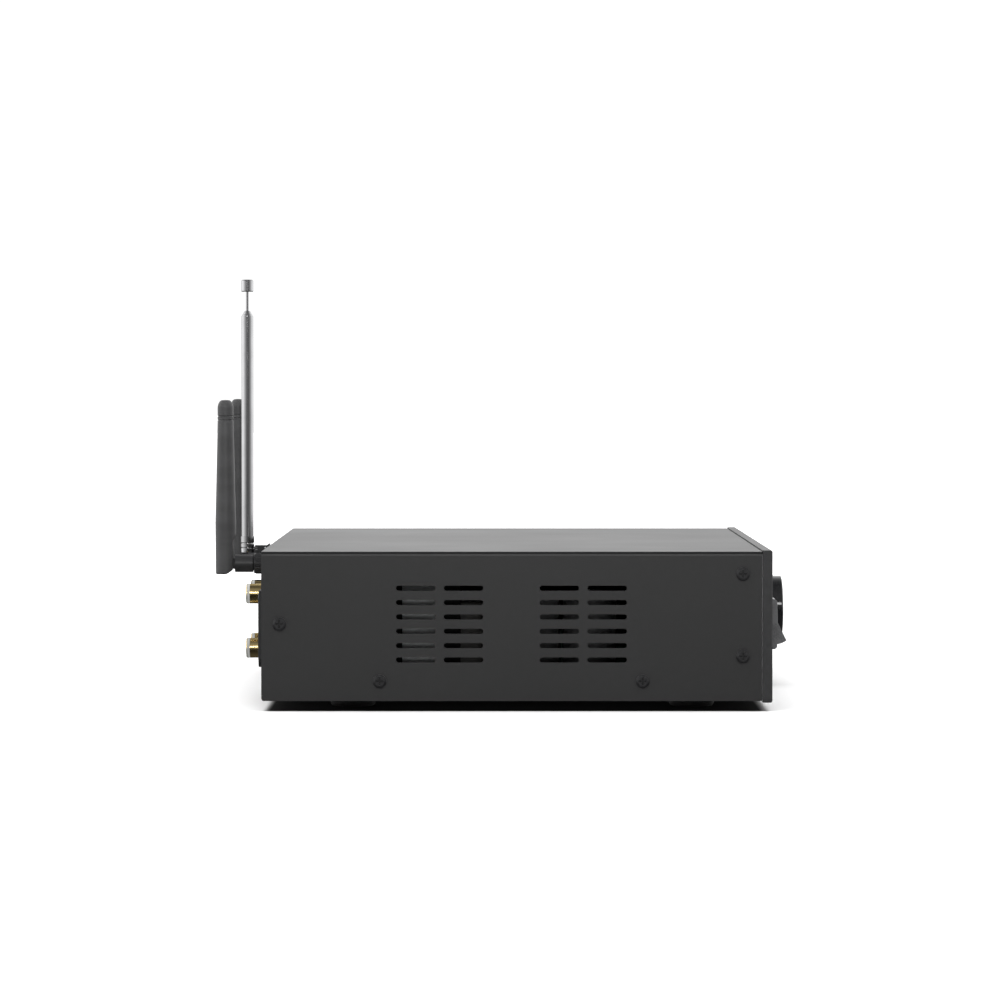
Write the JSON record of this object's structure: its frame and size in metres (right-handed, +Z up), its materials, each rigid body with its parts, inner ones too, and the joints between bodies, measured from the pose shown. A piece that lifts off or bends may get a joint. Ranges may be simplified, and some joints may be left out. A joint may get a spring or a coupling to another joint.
{
  "type": "bluetooth audio receiver",
  "caption": "Low black stereo receiver with a rocker switch, volume knob, side vents, phono jacks, folding Bluetooth aerials and a telescopic FM aerial.",
  "frame": {"origin": "on the floor, at the middle of the outline seen from above, aerials upright", "axes": "+X to the right as a listener sees the front, -Y out of the front plate, +Z up"},
  "size_m": [0.283, 0.248, 0.1795],
  "materials": {
    "zinc_steel": "satin",
    "black_powder_steel": "matte",
    "black_plate": "matte",
    "smoked_window": "polished",
    "display_glass": "polished",
    "circuit_board": "satin",
    "brass": "satin",
    "black_plastic": "satin",
    "plated_metal": "satin",
    "core_steel": "satin",
    "coil_tape": "satin",
    "capacitor_sleeve": "gloss",
    "black_aluminium": "satin",
    "gold_plate": "polished",
    "white_plastic": "satin",
    "black_metal": "satin",
    "foot_rubber": "matte",
    "cable_black": "satin",
    "cable_red": "satin",
    "ribbon_grey": "matte",
    "gloss_black": "gloss",
    "red_plastic": "gloss",
    "aerial_plastic": "satin",
    "chrome": "polished"
  },
  "bodies": {
    "chassis": {"chassis_tray": "zinc_steel", "top_cover": "black_powder_steel", "rear_panel": "black_powder_steel", "front_sub_panel": "zinc_steel", "front_plate": "black_plate", "display_window": "smoked_window", "display_module": "display_glass", "front_board": "circuit_board", "board_standoffs": "brass", "rocker_housing": "black_plastic", "volume_encoder": "plated_metal", "tone_controls": "plated_metal", "usb_socket": "plated_metal", "transformer_core": "core_steel", "transformer_coil": "coil_tape", "transformer_bracket": "zinc_steel", "power_board": "circuit_board", "filter_capacitors": "capacitor_sleeve", "amplifier_board": "circuit_board", "heat_sink": "black_aluminium", "amplifier_chips": "black_plastic", "radio_board": "circuit_board", "rca_block": "black_plastic", "rca_shells": "gold_plate", "rca_insulators": "white_plastic", "speaker_terminal": "black_plastic", "mains_inlet": "black_plastic", "inlet_pins": "plated_metal", "aerial_nuts": "black_metal", "fm_bushing": "black_metal", "case_screws": "black_metal", "board_screws": "plated_metal", "feet": "foot_rubber", "foot_screws": "plated_metal", "aerial_leads": "cable_black", "mains_wires": "cable_red", "front_ribbon": "ribbon_grey"},
    "power_rocker": {"power_rocker": "black_plastic"},
    "volume_control": {"volume_knob": "gloss_black", "volume_shaft": "plated_metal"},
    "bass_knob": {"bass_knob": "gloss_black"},
    "treble_knob": {"treble_knob": "gloss_black"},
    "button_back": {"button_back": "gloss_black"},
    "button_source": {"button_source": "gloss_black"},
    "button_next": {"button_next": "gloss_black"},
    "lever_right_minus": {"lever_right_minus": "gloss_black"},
    "lever_right_plus": {"lever_right_plus": "red_plastic"},
    "lever_left_minus": {"lever_left_minus": "gloss_black"},
    "lever_left_plus": {"lever_left_plus": "red_plastic"},
    "bt_left_base": {"bt_left_base": "aerial_plastic"},
    "bt_left_aerial": {"bt_left_aerial": "aerial_plastic"},
    "bt_right_base": {"bt_right_base": "aerial_plastic"},
    "bt_right_aerial": {"bt_right_aerial": "aerial_plastic"},
    "fm_base": {"fm_base": "black_metal"},
    "fm_tube": {"fm_tube": "chrome"},
    "fm_section_2": {"fm_section_2": "chrome"},
    "fm_section_3": {"fm_section_3": "chrome"},
    "fm_section_4": {"fm_section_4": "chrome"},
    "fm_tip_rod": {"fm_tip_rod": "chrome"}
  },
  "joints": [
    {"name": "power_rocker_tilt", "type": "hinge", "parent": "chassis", "child": "power_rocker", "pos_m": [-0.1245, -0.11117, 0.0353], "axis": [1, 0, 0], "range_deg": [0, 28]},
    {"name": "volume_turn", "type": "hinge", "parent": "chassis", "child": "volume_control", "pos_m": [0.019, -0.10977, 0.0346], "axis": [0, -1, 0], "continuous": true},
    {"name": "bass_turn", "type": "hinge", "parent": "chassis", "child": "bass_knob", "pos_m": [0.062, -0.10977, 0.0463], "axis": [0, -1, 0], "range_deg": [-140, 140]},
    {"name": "treble_turn", "type": "hinge", "parent": "chassis", "child": "treble_knob", "pos_m": [0.098, -0.10977, 0.0463], "axis": [0, -1, 0], "range_deg": [-140, 140]},
    {"name": "button_back_press", "type": "slide", "parent": "chassis", "child": "button_back", "axis": [0, 1, 0], "range_m": [0, 0.0005], "stiffness_N_per_m": 600, "springref_m": -0.0004},
    {"name": "button_source_press", "type": "slide", "parent": "chassis", "child": "button_source", "axis": [0, 1, 0], "range_m": [0, 0.0005], "stiffness_N_per_m": 600, "springref_m": -0.0004},
    {"name": "button_next_press", "type": "slide", "parent": "chassis", "child": "button_next", "axis": [0, 1, 0], "range_m": [0, 0.0005], "stiffness_N_per_m": 600, "springref_m": -0.0004},
    {"name": "lever_right_minus_press", "type": "hinge", "parent": "chassis", "child": "lever_right_minus", "pos_m": [0.0758, 0.10282, 0.0323], "axis": [1, 0, 0], "range_deg": [0, 15], "stiffness_Nm_per_rad": 0.05, "springref_deg": -17.19},
    {"name": "lever_right_plus_press", "type": "hinge", "parent": "chassis", "child": "lever_right_plus", "pos_m": [0.0886, 0.10282, 0.0323], "axis": [1, 0, 0], "range_deg": [0, 15], "stiffness_Nm_per_rad": 0.05, "springref_deg": -17.19},
    {"name": "lever_left_minus_press", "type": "hinge", "parent": "chassis", "child": "lever_left_minus", "pos_m": [0.1014, 0.10282, 0.0323], "axis": [1, 0, 0], "range_deg": [0, 15], "stiffness_Nm_per_rad": 0.05, "springref_deg": -17.19},
    {"name": "lever_left_plus_press", "type": "hinge", "parent": "chassis", "child": "lever_left_plus", "pos_m": [0.1142, 0.10282, 0.0323], "axis": [1, 0, 0], "range_deg": [0, 15], "stiffness_Nm_per_rad": 0.05, "springref_deg": -17.19},
    {"name": "bt_left_swivel", "type": "hinge", "parent": "chassis", "child": "bt_left_base", "pos_m": [-0.0455, 0.10422, 0.0566], "axis": [0, 1, 0], "range_deg": [-90, 90]},
    {"name": "bt_left_fold", "type": "hinge", "parent": "bt_left_base", "child": "bt_left_aerial", "pos_m": [-0.0455, 0.12043, 0.0566], "axis": [-1, 0, 0], "range_deg": [0, 90]},
    {"name": "bt_right_swivel", "type": "hinge", "parent": "chassis", "child": "bt_right_base", "pos_m": [0.0455, 0.10422, 0.0566], "axis": [0, 1, 0], "range_deg": [-90, 90]},
    {"name": "bt_right_fold", "type": "hinge", "parent": "bt_right_base", "child": "bt_right_aerial", "pos_m": [0.0455, 0.12043, 0.0566], "axis": [-1, 0, 0], "range_deg": [0, 90]},
    {"name": "fm_swivel", "type": "hinge", "parent": "chassis", "child": "fm_base", "pos_m": [0, 0.10422, 0.0564], "axis": [0, 1, 0], "range_deg": [-45, 45]},
    {"name": "fm_fold", "type": "hinge", "parent": "fm_base", "child": "fm_tube", "pos_m": [0, 0.11273, 0.0564], "axis": [-1, 0, 0], "range_deg": [0, 90]},
    {"name": "fm_section_2_slide", "type": "slide", "parent": "fm_tube", "child": "fm_section_2", "axis": [0, 0, 1], "range_m": [0, 0.085]},
    {"name": "fm_section_3_slide", "type": "slide", "parent": "fm_section_2", "child": "fm_section_3", "axis": [0, 0, 1], "range_m": [0, 0.085]},
    {"name": "fm_section_4_slide", "type": "slide", "parent": "fm_section_3", "child": "fm_section_4", "axis": [0, 0, 1], "range_m": [0, 0.085]},
    {"name": "fm_tip_rod_slide", "type": "slide", "parent": "fm_section_4", "child": "fm_tip_rod", "axis": [0, 0, 1], "range_m": [0, 0.085]}
  ]
}
